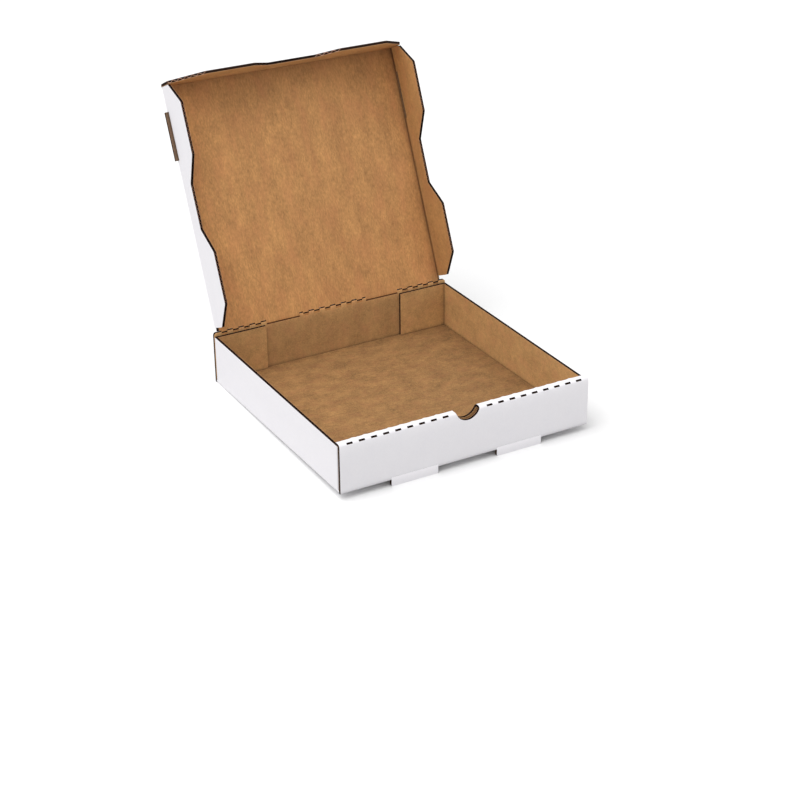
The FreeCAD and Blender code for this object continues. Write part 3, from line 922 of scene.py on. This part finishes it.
def hinge_crease():
    """Lid's crease between the teeth: kraft inside and white outside, bent from wall to lid. A
    dark line of painted shade runs along its foot, or above its middle where the teeth stand close."""
    lean_sin, lean_cos = math.sin(lid_lean), math.cos(lid_lean)
    half = board / 2
    part = np.linspace(0, 1, 7)[:, None]
    lines = []
    for sign in (-1, 1):
        start = np.array([sign * half, -hinge_reach])
        corner_along = sign * half * (1 - lean_cos) / lean_sin
        corner = np.array([sign * half, corner_along * lean_cos - sign * half * lean_sin])
        end = np.array([hinge_reach * lean_sin + sign * half * lean_cos,
                        hinge_reach * lean_cos - sign * half * lean_sin])
        lines.append((1 - part) ** 2 * start + 2 * part * (1 - part) * corner + part ** 2 * end)

    def place(x, y, z):
        return stacked(x, hinge_y + y, hinge_z + z)
    spans = lip_spans().ravel()[1:-1].reshape(-1, 2)
    plates = crease_plates(place, spans, *lines)
    # Painted shade: a dark line above the middle where the teeth stand close, else along the foot
    for (low, high), (_, _, _, numbers) in zip(spans, plates):
        if high - low < slit_pitch:
            numbers[3:5] = 2
        else:
            numbers[:2] = 3
    piece = make_mesh("lid_hinge_crease", plates, [KRAFT_LID, WHITE, DEEP_SHADE, PAINTED_CREASE_SHADE], None)
    start = Vector((0, hinge_y, hinge_z - half)) * MM
    end = Vector((0, hinge_y + half * lean_sin, hinge_z + half * lean_cos)) * MM
    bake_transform(piece)


def build_box():
    """All boards of the tray and the lid, each on its own body."""
    line, kraft_line, away = front_profile()
    across = travelled((line + kraft_line) / 2)
    # Row 3 is the middle of the front wall's fold, and the row of distance 0 tops the rolled edge
    # The fold gets a painted line of shade and the rolled edge a band of painted light
    white_front = white("white_front", {"Near": (across[3], -0.35, 0.8),
                                        "Far": (across[away == 0][0], 0.15, 7)})
    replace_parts(make_board("tray_front", "tray", KRAFT_WALL,
                           [front_board()] + feet_and_tabs(), white_front), "tray")
    make_board("tray_floor", "tray", KRAFT_FLOOR, [floor_board()])
    make_board("tray_right_side", "tray", KRAFT_SIDE, [side_board(1)], WHITE_SIDE)
    make_board("tray_left_side", "tray", KRAFT_SIDE, [side_board(-1)], WHITE_SIDE)
    back = back_board()
    # Row 7 is the first above the back wall's fold, and the last one tops the teeth
    back_rows = back[2][:, 0, 1]
    # A painted line of shade above the fold and a painted highlight along the teeth
    kraft_back = kraft("kraft_back_wall", 183, 146, 99, 0.8, 0.2,
                       {"Near": (back_rows[7], -0.6, 1.2), "Far": (back_rows[-1], 0.9, 3.0)})
    make_board("tray_back", "tray", kraft_back, [back])
    panel, lugs = lid_board()
    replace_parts(make_board("lid_board", "lid", KRAFT_LID, [panel]), "lid_panel")
    make_board("lid_lugs", "lid", KRAFT_LUG, [lugs])
    for side, body in ((1, "right_flap"), (-1, "left_flap")):
        flap = make_board(body + "_board", body, KRAFT_FLAP, [side_flap_board(side)],
                          square=FLUTE_ENDS)
        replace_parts(flap, "lid_" + body)
    flap = make_board("front_flap_board", "front_flap", KRAFT_FRONT_FLAP,
                      [front_flap_board()], slanted=FLUTE_SLANT_HIGHLIGHT)
    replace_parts(flap, "lid_front_flap")
    lid_creases()
    hinge_crease()


# Studio
def studio_floor():
    """Large pale plane that touches the feet and the rear bottom edge, on which the box stands."""
    rise = -foot_bottom / (back_y - front_y)
    ends = np.array([-9000.0, 9000.0])
    points = stacked(ends[:, None], ends, foot_bottom + (ends - front_y) * rise).reshape(-1, 3) * MM
    mesh = bpy.data.meshes.new("studio_floor")
    mesh.from_pydata(points.tolist(), [], [(0, 2, 3, 1)])
    material = bpy.data.materials.new("studio_floor")
    material.use_nodes = True
    tree = material.node_tree
    shader = tree.nodes["Principled BSDF"]
    seen = add(tree, "ShaderNodeLightPath").outputs["Is Camera Ray"]
    pale = mixed(tree, seen, (0.8, 0.8, 0.8, 1), (0.95, 0.95, 0.95, 1))
    tree.links.new(pale, shader.inputs["Base Color"])
    shader.inputs["Roughness"].default_value = 0.9
    shader.inputs["Specular IOR Level"].default_value = 0.0
    mesh.materials.append(material)
    floor = bpy.data.objects.new("studio_floor", mesh)
    bpy.context.scene.collection.objects.link(floor)


def studio_light():
    """White surroundings that the camera sees as plain white, and a soft lamp above and to the left."""
    world = bpy.data.worlds.new("studio")
    bpy.context.scene.world = world
    world.use_nodes = True
    tree = world.node_tree
    path = add(tree, "ShaderNodeLightPath")
    strength = remapped(tree, path.outputs["Is Camera Ray"], 0.0, 1.0, surround_strength, 1.0)
    background = tree.nodes["Background"]
    background.inputs["Color"].default_value = (1, 1, 1, 1)
    tree.links.new(strength, background.inputs["Strength"])
    lamp = bpy.data.lights.new("key", "SUN")
    lamp.energy, lamp.angle = lamp_power, lamp_spread
    holder = bpy.data.objects.new("key", lamp)
    bpy.context.scene.collection.objects.link(holder)
    holder.rotation_mode = "QUATERNION"
    holder.rotation_quaternion = lamp_direction.to_track_quat("Z", "Y")


def photo_camera():
    """Camera at the photograph's place, angle and focal length."""
    data = bpy.data.cameras.new("photo_camera")
    data.lens, data.sensor_width = camera_lens, camera_sensor
    data.clip_start, data.clip_end = 0.05, 50
    camera = bpy.data.objects.new("photo_camera", data)
    bpy.context.scene.collection.objects.link(camera)
    back = Vector((math.sin(camera_azimuth) * math.cos(camera_elevation),
                   -math.cos(camera_azimuth) * math.cos(camera_elevation), math.sin(camera_elevation)))
    right = Vector((0, 0, 1)).cross(back).normalized()
    up = back.cross(right)
    turned_right = right * math.cos(camera_roll) + up * math.sin(camera_roll)
    turned_up = up * math.cos(camera_roll) - right * math.sin(camera_roll)
    place = Matrix((turned_right, turned_up, back)).transposed().to_4x4()
    place.translation = (camera_target + back * camera_distance) * MM
    camera.matrix_world = place
    bpy.context.scene.camera = camera


build_box()
studio_floor()
studio_light()
photo_camera()

bpy.context.scene.view_settings.view_transform = "Standard"
